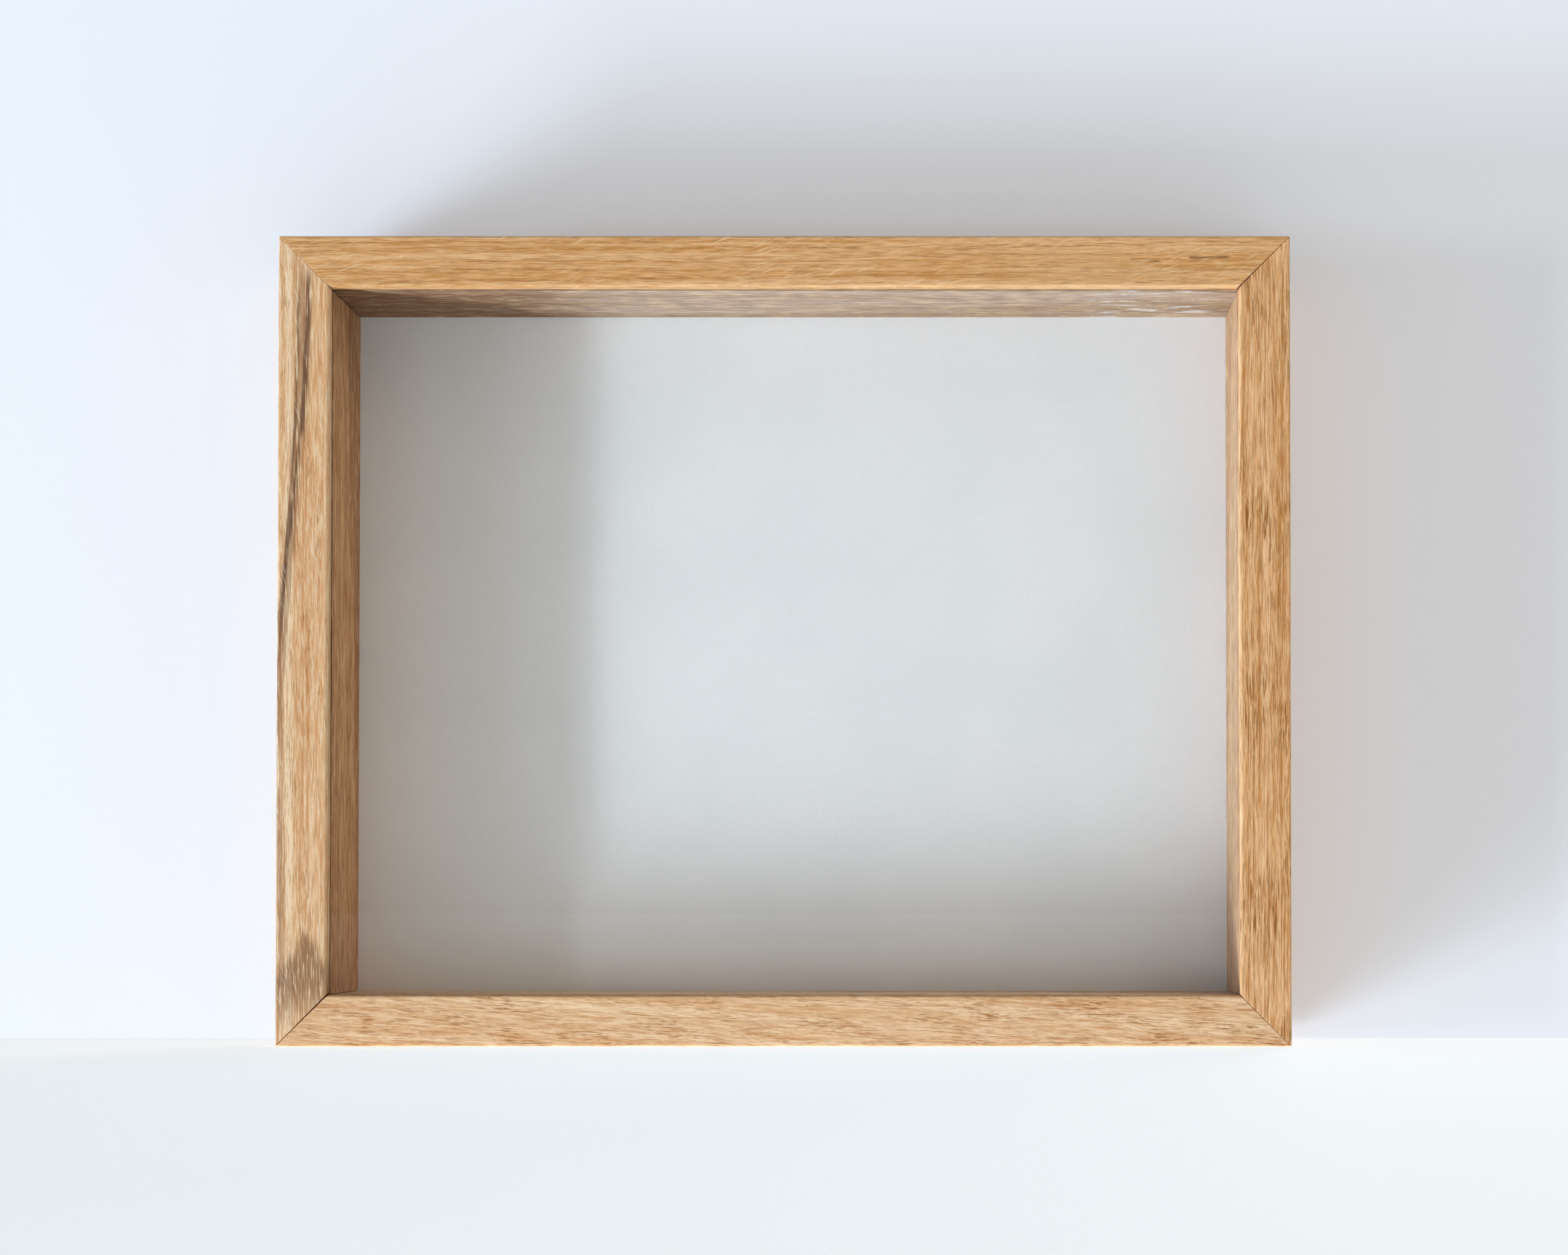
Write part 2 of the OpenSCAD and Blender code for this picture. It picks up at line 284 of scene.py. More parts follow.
# white oak, planed and sanded, under a satin clear finish: warm honey brown, with fine open pores cut
# lengthwise, faint rings, pale ray flecks and paler rubbed arrises. The attribute grain is (along, inward,
# depth) in mm
def oakMaterial(name, wood):
    material, tree, shader = newMaterial(name)
    grain = addNode(tree, "ShaderNodeAttribute", attribute_name="grain").outputs["Vector"]
    arris = addNode(tree, "ShaderNodeAttribute", attribute_name="arris").outputs["Fac"]
    rabbetShade = addNode(tree, "ShaderNodeAttribute", attribute_name="rabbetShade").outputs["Fac"]
    along, inward, depth = addNode(tree, "ShaderNodeSeparateXYZ", {0: grain}).outputs
    place = addNode(tree, "ShaderNodeVectorMath", {0: grain, 1: wood["start"]}, operation="ADD").outputs[0]

    # the fibres wander a little to the side and into the board
    wave = grains(tree, place, wood["waveSize"], 1.0, 0.4, "Color")
    wave = addNode(tree, "ShaderNodeVectorMath", {0: wave, 1: (0.5, 0.5, 0.5)}, operation="SUBTRACT").outputs[0]
    bent = bend(tree, place, wave, wood["waveReach"])
    bent = addNode(tree, "ShaderNodeMapping", {"Vector": bent, "Rotation": (0, 0, wood["slant"])}).outputs[0]

    # growth rings: distance from the tree's centre line, which leans away along the board
    ringPlace = bend(tree, grain, wave, wood["ringWander"])
    ringAlong, ringIn, ringDepth = addNode(tree, "ShaderNodeSeparateXYZ", {0: ringPlace}).outputs
    across = plus(tree, times(tree, ringAlong, wood["lean"][0]), minus(tree, ringIn, wood["centre"][0]))
    deep = plus(tree, times(tree, ringAlong, wood["lean"][1]), minus(tree, ringDepth, wood["centre"][1]))
    radius = math2(tree, "SQRT", plus(tree, times(tree, across, across), times(tree, deep, deep)))
    ring = math2(tree, "FRACT", math2(tree, "DIVIDE", radius, wood["ringWidth"]))
    early = between(tree, ring, *oakLevels["earlyIn"])
    early = times(tree, early, between(tree, ring, *oakLevels["earlyOut"]))

    broad = grains(tree, bent, oakSizes["broad"], 2.0)
    fibre = grains(tree, bent, oakSizes["fibre"], 2.0, 0.5)
    line = grains(tree, bent, oakSizes["line"], 2.0, 0.6)
    body = between(tree, broad, *oakLevels["broad"])
    lines = between(tree, line, *oakLevels["line"])
    darkFibre = between(tree, fibre, *oakLevels["darkFibre"])
    paleFibre = between(tree, fibre, *oakLevels["paleFibre"])
    colour = tint(tree, body, toLinear(wood["pale"]), toLinear(wood["body"]))
    colour = stain(tree, colour, early, wood["ringStrength"], wood["ring"])
    colour = stain(tree, colour, lines, wood["lineStrength"], wood["line"])
    colour = stain(tree, colour, darkFibre, wood["fibreStrength"], wood["line"])
    colour = stain(tree, colour, paleFibre, wood["fibreStrength"], wood["light"])

    for streak in wood.get("darkStreaks", []):
        mask = streakMask(tree, streak, along, inward, depth, bent, fibre)
        colour = stain(tree, colour, mask, streak["strength"], streak["colour"])
    # patches of darker or paler wood, and painted shade laid over a strip towards one end
    for patch in wood.get("patchesAndPaintedShade", []):
        mask = patchAndShadeMask(tree, patch, along, inward, bent, fibre)
        colour = stain(tree, colour, mask, patch["strength"], patch["colour"])

    # pores: open vessels cut lengthwise, crowded in the early wood
    crowd = plus(tree, 0.55, times(tree, early, 0.45))
    gather = addNode(tree, "ShaderNodeMapRange", {"Value": grains(tree, place, oakSizes["poreCrowd"], 1.0),
                                                  "From Min": 0.3, "From Max": 0.6, "To Min": 0.45})
    crowd = times(tree, crowd, gather.outputs[0])
    poreLength, poreWidth = wood["poreLength"], wood["poreWidth"]
    long = between(tree, grains(tree, bent, (poreLength, poreWidth, poreWidth), 1.0),
                   wood["poreFrom"], wood["poreFrom"] + 0.05)
    short = between(tree, grains(tree, bent, (poreLength * 0.4, poreWidth * 0.7, poreWidth * 0.7), 0.0),
                    *oakLevels["shortPore"])
    pore = times(tree, plus(tree, long, times(tree, short, 0.6), True), crowd)
    colour = stain(tree, colour, pore, wood["poreStrength"], wood["pore"])

    # rays: pale flecks that lie slantwise over the grain
    turned = addNode(tree, "ShaderNodeMapping", {"Vector": place, "Rotation": (0, 0, wood["rayTurn"])})
    ray = between(tree, grains(tree, turned.outputs[0], (wood["rayLength"], 0.45, 3), 1.0), *oakLevels["ray"])
    group = grains(tree, place, oakSizes["rayGroup"], 1.0)
    ray = times(tree, ray, between(tree, group, *oakLevels["rayGroup"]))
    ray = times(tree, ray, between(tree, depth, *oakLevels["rayDepth"]))
    colour = stain(tree, colour, ray, wood["rayStrength"], wood["ray"])

    # painted sheen: pale streaks along the grain, standing in for a reflection in the finish, fading in and out
    # at the ends
    if "paintedSheen" in wood:
        paintedSheen = wood["paintedSheen"]
        mask = between(tree, grains(tree, place, oakSizes["paintedSheen"], 3.0, 0.6), *oakLevels["paintedSheen"])
        reach = times(tree, between(tree, along, paintedSheen["begin"], paintedSheen["begin"] + paintedSheen["fadeIn"]),
                      between(tree, along, paintedSheen["end"], paintedSheen["end"] - paintedSheen["fadeOut"]))
        colour = stain(tree, colour, times(tree, mask, reach), paintedSheen["strength"], paintedSheen["colour"])

    # the sanded arrises are rubbed a little paler, and the rabbet's recess gets painted shade: dark brown where
    # it lies in shadow behind the lip
    worn = times(tree, arris, between(tree, grains(tree, place, oakSizes["wear"], 2.0), *oakLevels["wear"]))
    colour = stain(tree, colour, worn, wood["wear"], wood["rubbed"])
    colour = stain(tree, colour, rabbetShade, wood["rabbetShadeStrength"], wood["rabbetShadeTone"])

    height = minus(tree, times(tree, fibre, 0.25), times(tree, pore, 0.9))
    bump = addNode(tree, "ShaderNodeBump", {"Height": height, "Strength": 0.4, "Distance": wood["poreDepth"]})
    rough = plus(tree, times(tree, fibre, 0.12), wood["roughness"])
    rough = plus(tree, rough, times(tree, pore, 0.2))
    tree.links.new(colour, shader.inputs["Base Color"])
    tree.links.new(rough, shader.inputs["Roughness"])
    tree.links.new(bump.outputs[0], shader.inputs["Normal"])
    shader.inputs["IOR"].default_value = 1.5
    shader.inputs["Specular IOR Level"].default_value = wood["gloss"]
    return material


# the look of each board: where it is cut from the tree (mm), its rings, fibres, pores and rays, and its colours
oakBase = dict(
    start=(0.0, 0.0, 0.0), centre=(-60.0, 45.0), lean=(0.02, 0.03), slant=0.0,
    ringWidth=3.2, ringStrength=0.3, ringWander=3.0, waveSize=(60.0, 14.0, 14.0), waveReach=1.6,
    lineStrength=0.35, fibreStrength=0.6, light="#e9c190",
    pale="#ddb182", body="#cfa06c", ring="#bd8a53", line="#b9844c", pore="#875a2f", ray="#e9cba3",
    # the rabbet's dark brown and its strength are painted shade for its recess
    rubbed="#e6bf8c", rabbetShadeTone="#4a3220", rabbetShadeStrength=0.85,
    poreLength=8.0, poreWidth=0.44, poreFrom=0.58, poreStrength=0.7, poreDepth=0.12 * mm,
    rayLength=6.0, rayTurn=0.35, rayStrength=0.35, wear=0.25, roughness=0.42, gloss=0.35)

railWoods = {
    "top": dict(
        oakBase, start=(210.0, 3.0, 8.0), centre=(-80.0, 22.0), ringWidth=3.6, ringStrength=0.22,
        pale="#efba83", body="#e3a668", ring="#cd9153", line="#be7e36", pore="#87531e", ray="#fddcab",
        light="#f8c891", poreStrength=0.55, poreLength=10.0, poreFrom=0.6, fibreStrength=0.5,
        lineStrength=0.6, rayStrength=0.6, rayLength=9.0, waveReach=1.2,
        darkStreaks=[
            dict(begin=154.0, end=171.0, route=[(0.0, 0.44), (1.0, 0.42)],
                 widths=(0.9, 0.5), ragged=0.9, strength=0.85, colour="#6f4721"),
            dict(begin=132.0, end=144.0, route=[(0.0, 0.46), (1.0, 0.5)],
                 widths=(0.5, 0.8), ragged=0.7, strength=0.8, colour="#7a5028")],
        patchesAndPaintedShade=[
            dict(tip=178.0, way=-1.0, inward=17.0, spread=4.0, length=120.0, fade=30.0, ragged=8.0,
                 strength=0.35, colour="#e5bb85")]),
    "left": dict(
        oakBase, start=(-40.0, 31.0, 2.0), centre=(38.0, 60.0), lean=(0.03, 0.05), ringStrength=0.2,
        pale="#fdd8ae", body="#edb986", ring="#d99e67", line="#cc8c50", pore="#a0662e", ray="#fdf3d8",
        light="#fde8c1", rubbed="#fddfb2", fibreStrength=0.5, poreStrength=0.6, poreFrom=0.59,
        poreLength=7.0, lineStrength=0.65, rayLength=8.0, rayTurn=0.3, rayStrength=0.4,
        darkStreaks=[
            dict(begin=146.0, end=-50.0,
                 route=[(0.0, 0.52), (0.22, 0.50), (0.4, 0.37), (0.6, 0.2), (0.8, 0.06), (1.0, 0.0)],
                 widths=(4.4, 2.6), ragged=4.0, strength=0.6, colour="#916645"),
            dict(begin=144.0, end=-20.0,
                 route=[(0.0, 0.58), (0.25, 0.54), (0.5, 0.36), (0.75, 0.14), (1.0, 0.0)],
                 widths=(1.7, 0.9), ragged=2.2, strength=0.8, colour="#5f3f2a"),
            dict(begin=136.0, end=10.0, route=[(0.0, 0.40), (0.4, 0.35), (0.75, 0.2), (1.0, 0.1)],
                 widths=(1.0, 0.6), ragged=1.4, strength=0.7, colour="#6a4830"),
            dict(begin=20.0, end=-154.0, route=[(0.0, 0.0), (0.5, 0.05), (1.0, 0.1)],
                 widths=(1.8, 3.4), ragged=3.2, strength=0.6, colour="#a06d40")],
        patchesAndPaintedShade=[
            dict(tip=-106.0, way=-1.0, inward=11.5, spread=1.6, length=46.0, fade=9.0, ragged=20.0,
                 strength=0.85, colour="#8f6643")]),
    "right": dict(
        oakBase, start=(90.0, -12.0, 40.0), centre=(8.0, 70.0), lean=(0.04, 0.06), ringWidth=4.4,
        pale="#f9c38e", body="#eaae74", ring="#d29458", line="#bc7731", pore="#995c1e", light="#fdd5a3",
        poreStrength=1.0, poreFrom=0.56, poreLength=11.0, ringStrength=0.25, lineStrength=0.75,
        fibreStrength=0.5),
    "bottom": dict(
        oakBase, start=(-150.0, 44.0, 17.0), centre=(30.0, 90.0), lean=(0.05, 0.08), slant=0.06,
        pale="#f7d0a3", body="#ecbc8b", ring="#d49e66", line="#c68343", pore="#a6682b", light="#fde0b8",
        poreStrength=0.85, poreFrom=0.57, poreLength=6.5, waveSize=(24.0, 8.0, 8.0), waveReach=1.8,
        ringStrength=0.15, fibreStrength=0.45, lineStrength=0.5),
}
spacerBase = dict(
    oakBase, centre=(-400.0, 14.0), lean=(0.004, 0.0), ringWidth=2.1, ringStrength=0.55, ringWander=0.8,
    waveReach=0.6, lineStrength=0.65, pale="#d39d6c", body="#c08356", ring="#97623a", line="#8b5532",
    rubbed="#d4b491", roughness=0.55, gloss=0.22, rayStrength=0.1, poreStrength=0.5)
spacerWoods = {
    "top": dict(
        # its pale greyish tones are the oak's own colour with painted sheen of a grazing reflection mixed in
        spacerBase, start=(30.0, 12.0, 5.0), pale="#b99f90", body="#aa8b72", ring="#8d6d52",
        line="#84634c", rubbed="#c4a68b",
        # painted sheen: pale greyish streaks in its right part, standing in for a reflection in the finish
        paintedSheen=dict(begin=112.0, end=170.0, fadeIn=14.0, fadeOut=10.0, strength=0.75, colour="#d7cfc7"),
        # painted shade: the strip is darkened towards its left end, where the left rail casts its shadow on it
        patchesAndPaintedShade=[
            dict(tip=-60.0, way=-1.0, inward=20.0, spread=0.0, length=400.0, fade=55.0, ragged=16.0,
                 strength=0.8, colour="#764c2d")]),
    "bottom": dict(spacerBase, start=(130.0, 2.0, 25.0), pale="#ebcfaf", body="#d9b691"),
    "left": dict(spacerBase, start=(-70.0, 22.0, 45.0)),
    # the right strip's greyish tones are the oak's own colour with painted sheen of a grazing reflection mixed
    # in
    "right": dict(spacerBase, start=(-170.0, 52.0, 5.0), pale="#b28e70", body="#a37b5b", ring="#855d39"),
}


# the four mitred rails
rail = dict(
    lipRound=1.1 * mm,
    edgeRound=0.8 * mm,
    backEase=0.15 * mm,         # saw-sharp arrises at the back of the lip and the rabbet, just broken
    mitreEase=0.12 * mm,        # arris rubbed off where the rails meet
    mitreEaseReach=0.1 * mm,    # how fast that fades along the rail
    wander=0.05 * mm,           # how far the sanded faces wander
    wanderLength=60,            # in mm along the rail, and across its faces
    wanderWidth=25,
    stations=180,
    mitreGaps={                 # open joint in mm at each rail's two ends: at the outer and inner corner
        "top": ((0.05, 0.05), (0.16, 0.26)), "bottom": ((0.20, 0.45), (0.12, 0.16)),
        "left": ((0.20, 0.45), (0.05, 0.05)), "right": ((0.12, 0.16), (0.16, 0.26))},
)


# the rail's section, a closed loop of (depth, inward) points from the outer front arris round by the lip, the
# rabbet and the back. Each stretch has its count of points, and two flags: whether it is an arris that hands
# touch, and whether it is inside the rabbet, where shade is painted on the wood
def railSection():
    f, d, r, e, s = faceWidth, railDepth, rail["lipRound"], rail["edgeRound"], rail["backEase"]
    stretches = [
        (linePoints((0, e), (0, f - r), 18), 0, 0),
        (arcPoints((r, f - r), r, 180, 90, 7), 1, 0),
        (linePoints((r, f), (lipThickness - s, f), 4), 0, 0),
        (linePoints((lipThickness - s, f), (lipThickness, f - s), 1), 0, 0),
        (linePoints((lipThickness, f - s), (lipThickness, rabbetWall), 3), 0, 1),
        (linePoints((lipThickness, rabbetWall), (d - s, rabbetWall), 6), 0, 1),
        (linePoints((d - s, rabbetWall), (d, rabbetWall - s), 1), 0, 0),
        (linePoints((d, rabbetWall - s), (d, e), 8), 0, 0),
        (arcPoints((d - e, e), e, 0, -90, 6), 1, 0),
        (linePoints((d - e, 0), (e, 0), 24), 0, 0),
        (arcPoints((e, e), e, 270, 180, 6), 1, 0),
    ]
    loop = np.concatenate([points for points, _, _ in stretches])
    arris = np.concatenate([np.full(len(points), float(flag)) for points, flag, _ in stretches])
    rabbetShade = np.concatenate([np.full(len(points), float(flag)) for points, _, flag in stretches])
    return loop, arris, rabbetShade


# the section carried along the rail: at each station a point stands at the station's share of its own way to the
# mitre, so that the end stations lie in the mitre planes
def makeRail(side):
    halfLength = (boxWidth if side in ("top", "bottom") else boxHeight) / 2
    loop, arris, rabbetShade = railSection()
    depth, inward = loop[:, 0], loop[:, 1]
    share = np.sin(np.linspace(-1, 1, rail["stations"]) * np.pi / 2)
    (startOuter, startInner), (endOuter, endInner) = rail["mitreGaps"][side]
    reachStart = halfLength - inward - (startOuter + (startInner - startOuter) * inward / faceWidth) * mm
    reachEnd = halfLength - inward - (endOuter + (endInner - endOuter) * inward / faceWidth) * mm
    along = np.where(share[:, None] < 0, share[:, None] * reachStart, share[:, None] * reachEnd)
    tangent = np.roll(loop, -1, axis=0) - np.roll(loop, 1, axis=0)
    normal = np.stack([-tangent[:, 1], tangent[:, 0]], axis=-1)      # out of the wood
    normal /= np.linalg.norm(normal, axis=1)[:, None]
    seed = sum(ord(c) for c in side)
    wavesAt = along / mm / rail["wanderLength"] + depth / mm / rail["wanderWidth"]
    wobble = smoothWave(wavesAt, seed) * rail["wander"]
    toMitre = np.minimum(reachEnd - along, along + reachStart)
    ease = np.exp(-toMitre / rail["mitreEaseReach"]) * rail["mitreEase"]
    shift = wobble - rail["wander"] - ease
    depthHere = depth + normal[:, 0] * shift
    inwardHere = inward + normal[:, 1] * shift
    piece = meshFromGrid("oak_rail_" + side, placeOnSide(side, along, depthHere, inwardHere), capEnds=True)
    grain = np.stack([along, inwardHere, depthHere], axis=-1) / mm
    storeOnPoints(piece, "grain", grain.reshape(-1, 3))
    storeOnPoints(piece, "arris", np.broadcast_to(arris, along.shape).reshape(-1))
    storeOnPoints(piece, "rabbetShade", np.broadcast_to(rabbetShade, along.shape).reshape(-1))
    material = oakMaterial("whiteOakRail_" + side, railWoods[side])
    standFor(piece, "rail_" + side, "frame", material)


for side in sides:
    makeRail(side)
print("rails made")


# the four spacer strips that line the box behind the glazing
spacer = dict(
    arris=0.25 * mm,
    stations=120,
    chipSeed=50,
    chips=dict(top=0.5, bottom=0.3, left=0.5, right=0.3),       # depth of the sawn ends' chips, mm
)


# a rectangular section with eased arrises, carried along the strip. The sawn ends are slightly ragged: each
# point of the section stops short by its chip, a random number to the fourth power times the chips' depth
def makeSpacer(side):
    low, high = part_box("spacer_" + side)
    level = side in ("top", "bottom")
    halfLength = (high.x - low.x) / 2 if level else (high.z - low.z) / 2
    d0, d1 = low.y - frontY, high.y - frontY       # depth of the front and back face
    u1 = faceWidth                                 # the face seen inside the box, flush with the rail's lip
    u0 = u1 - ((high.z - low.z) if level else (high.x - low.x))
    r = spacer["arris"]
    stretches = [
        (linePoints((d0, u0 + r), (d0, u1 - r), 5), 0),
        (arcPoints((d0 + r, u1 - r), r, 180, 90, 3), 1),
        (linePoints((d0 + r, u1), (d1 - r, u1), 40), 0),
        (arcPoints((d1 - r, u1 - r), r, 90, 0, 3), 0),
        (linePoints((d1, u1 - r), (d1, u0 + r), 3), 0),
        (arcPoints((d1 - r, u0 + r), r, 0, -90, 3), 0),
        (linePoints((d1 - r, u0), (d0 + r, u0), 12), 0),
        (arcPoints((d0 + r, u0 + r), r, 270, 180, 3), 0),
    ]
    loop = np.concatenate([points for points, _ in stretches])
    arris = np.concatenate([np.full(len(points), float(flag)) for points, flag in stretches])
    depth, inward = loop[:, 0], loop[:, 1]
    chips = np.random.default_rng(spacer["chipSeed"] + sum(ord(c) for c in side)).random((2, len(loop)))
    bite = chips ** 4 * spacer["chips"][side] * mm
    share = np.sin(np.linspace(-1, 1, spacer["stations"]) * np.pi / 2)[:, None]
    along = np.where(share < 0, share * (halfLength - bite[0]), share * (halfLength - bite[1]))
    piece = meshFromGrid("oak_spacer_" + side, placeOnSide(side, along, depth, inward), capEnds=True)
    grain = np.stack([along, inward + 0 * along, depth + 0 * along], axis=-1) / mm
    storeOnPoints(piece, "grain", grain.reshape(-1, 3))
    storeOnPoints(piece, "arris", np.broadcast_to(arris, along.shape).reshape(-1))
    material = oakMaterial("whiteOakSpacer_" + side, spacerWoods[side])
    standFor(piece, "spacer_" + side, "frame", material)


for side in sides:
    makeSpacer(side)
print("spacers made")


glass = dict(tone="#fbfefd", clear=(0.93, 0.94, 0.94, 1), index=1.22, speck=(0.7, 0.7, 0.7),
             speckLevels=(0.74, 0.8), speckRoughness=0.25)


# picture glass with a thin anti-reflection coat: nearly colourless, with a faint mirror at a slant. Rays to the
# lamps pass through a clear stand-in, so that the inside is lit; specks of dust lie on it
def glazingMaterial():
    material, tree, shader = newMaterial("coatedPictureGlass")
    dust = between(tree, grains(tree, placesInMm(tree), glass["speck"], 1.0), *glass["speckLevels"])
    tree.links.new(times(tree, dust, glass["speckRoughness"]), shader.inputs["Roughness"])
    shader.inputs["Base Color"].default_value = toLinear(glass["tone"])
    shader.inputs["Transmission Weight"].default_value = 1
    shader.inputs["IOR"].default_value = glass["index"]
    clear = addNode(tree, "ShaderNodeBsdfTransparent", {"Color": glass["clear"]})
    path = addNode(tree, "ShaderNodeLightPath")
    mix = addNode(tree, "ShaderNodeMixShader", {0: path.outputs["Is Shadow Ray"], 1: shader.outputs[0],
                                                2: clear.outputs[0]})
    tree.links.new(mix.outputs[0], tree.nodes["Material Output"].inputs[0])
    return material


# joins colour, roughness and bump to the shader; the bump's full height is in mm
def finishSurface(tree, shader, colour, rough, bumpSource, bumpStrength, bumpHeight):
    bump = addNode(tree, "ShaderNodeBump", {"Height": bumpSource, "Strength": bumpStrength,
                                            "Distance": bumpHeight * mm})
    tree.links.new(colour, shader.inputs["Base Color"])
    tree.links.new(bump.outputs[0], shader.inputs["Normal"])
    if isinstance(rough, bpy.types.NodeSocket):
        tree.links.new(rough, shader.inputs["Roughness"])
    else:
        shader.inputs["Roughness"].default_value = rough


matBoard = dict(tones=("#e1d9d4", "#ddd6d1", "#d5cec9"), tooth=(0.9, 0.9, 0.9), cloud=(55, 55, 55),
                roughness=0.85)


# white mat board: a matt paper face with a slight tooth and the faintest clouding
def panelMaterial():
    material, tree, shader = newMaterial("whiteMatBoard")
    place = placesInMm(tree)
    light, cloudy, toothed = matBoard["tones"]
    tooth = grains(tree, place, matBoard["tooth"], 3.0)
    cloud = grains(tree, place, matBoard["cloud"], 2.0)
    colour = tint(tree, between(tree, cloud, 0.35, 0.65), toLinear(light), toLinear(cloudy))
    colour = stain(tree, colour, between(tree, tooth, 0.45, 0.7), 0.4, toothed)
    finishSurface(tree, shader, colour, matBoard["roughness"], tooth, 0.3, 0.05)
    return material


hardboard = dict(tones=("#876044", "#7f5a3f"), speckTone="#593a25", strandTone="#b08a62", cloud=(40, 40, 40),
                 felt=(1.6, 1.6, 1.6), strands=((5, 5, 0.35), (0.35, 5, 5)), strandLevels=(0.66, 0.72))


# brown hardboard: pressed wood fibre, smooth and slightly shiny, with darker specks and pale strands
def hardboardMaterial():
    material, tree, shader = newMaterial("brownHardboard")
    place = placesInMm(tree)
    cloud = grains(tree, place, hardboard["cloud"], 3.0)
    felt = grains(tree, place, hardboard["felt"], 4.0, 0.65)
    level, upright = [between(tree, grains(tree, place, size, 2.0, 0.6), *hardboard["strandLevels"])
                      for size in hardboard["strands"]]
    colour = tint(tree, between(tree, cloud, 0.3, 0.7), *[toLinear(tone) for tone in hardboard["tones"]])
    colour = stain(tree, colour, between(tree, felt, 0.52, 0.7), 0.55, hardboard["speckTone"])
    colour = stain(tree, colour, math2(tree, "MAXIMUM", level, upright), 0.5, hardboard["strandTone"])
    finishSurface(tree, shader, colour, plus(tree, times(tree, felt, 0.3), 0.3), felt, 0.35, 0.06)
    return material


plating = dict(cloud=(4, 4, 4), rolled=(0.15, 2, 5), spot=(0.9, 0.9, 0.9), spotLevels=(0.58, 0.72))


# plated steel: tint clouds of the plating, fine rolling lines and a few dull rubbed spots
def platedMaterial(name, look):
    material, tree, shader = newMaterial(name)
    place = placesInMm(tree)
    cloud = grains(tree, place, plating["cloud"], 3.0, 0.6)
    rolled = grains(tree, place, plating["rolled"], 2.0)
    spots = between(tree, grains(tree, place, plating["spot"], 3.0, 0.6), *plating["spotLevels"])
    colour = tint(tree, between(tree, cloud, 0.35, 0.65), toLinear(look["bright"]), toLinear(look["tinted"]))
    colour = stain(tree, colour, spots, look["dullness"], look["dull"])
    rough = plus(tree, times(tree, cloud, 0.14), look["roughness"])
    rough = plus(tree, rough, times(tree, spots, 0.18))
    finishSurface(tree, shader, colour, rough, rolled, 0.25, 0.02)
    shader.inputs["Metallic"].default_value = 1
    return material


moulding = dict(tones=("#2a2928", "#3b3937"), dustTone="#8a857e", bloom=(3, 3, 3), skin=(0.25, 0.25, 0.25),
                index=1.52)


# black moulded rubber: matt, with a grey bloom and caught dust
def rubberMaterial():
    material, tree, shader = newMaterial("blackMouldedRubber")
    place = placesInMm(tree)
    bloom = grains(tree, place, moulding["bloom"], 3.0, 0.6)
    skin = grains(tree, place, moulding["skin"], 2.0)
    colour = tint(tree, between(tree, bloom, 0.35, 0.7), *[toLinear(tone) for tone in moulding["tones"]])
    colour = stain(tree, colour, between(tree, skin, 0.68, 0.75), 0.4, moulding["dustTone"])
    finishSurface(tree, shader, colour, plus(tree, times(tree, bloom, 0.25), 0.5), skin, 0.4, 0.04)
    shader.inputs["IOR"].default_value = moulding["index"]
    return material


zincSteel = platedMaterial("zincPlatedSteel", dict(
    bright="#c3c6c8", tinted="#aeb0ac", dull="#85847f", dullness=0.5, roughness=0.28))
nickelSteel = platedMaterial("nickelPlatedSteel", dict(
    bright="#d6d0c4", tinted="#c2b9a8", dull="#948a7a", dullness=0.3, roughness=0.16))
paint("glazing", glazingMaterial())
paint("display_panel", panelMaterial())
paint("back_board", hardboardMaterial())
for node in ("corner_nails", "turn_button_screws"):
    paint(node, zincSteel)
for node in ("hanger_strap_left", "hanger_strap_right", "hanger_screws"):
    paint(node, nickelSteel)
print("CAD nodes painted")


# turn buttons: stamped strip with round ends, turning on a screw
button = dict(
    holeRadius=1.81 * mm,
    rimRoll=0.35 * mm,          # roll-over of the stamped edge on the upper face
    burr=0.1 * mm,              # broken edge on the lower face and round the hole
    loops=(0.012, 0.2, 0.6),    # extra edge loops, as shares of the way from the hole to the rim
    endPoints=96,               # round the two ends together
    sidePoints=14,              # along each straight side
    tips={                      # which way each tip points at rest, in x and z
        "turn_button_top_left": (0, -1), "turn_button_top_right": (0, -1),
        "turn_button_bottom_left": (0, 1), "turn_button_bottom_right": (0, 1),
        "turn_button_left": (1, 0), "turn_button_right": (-1, 0)},
)


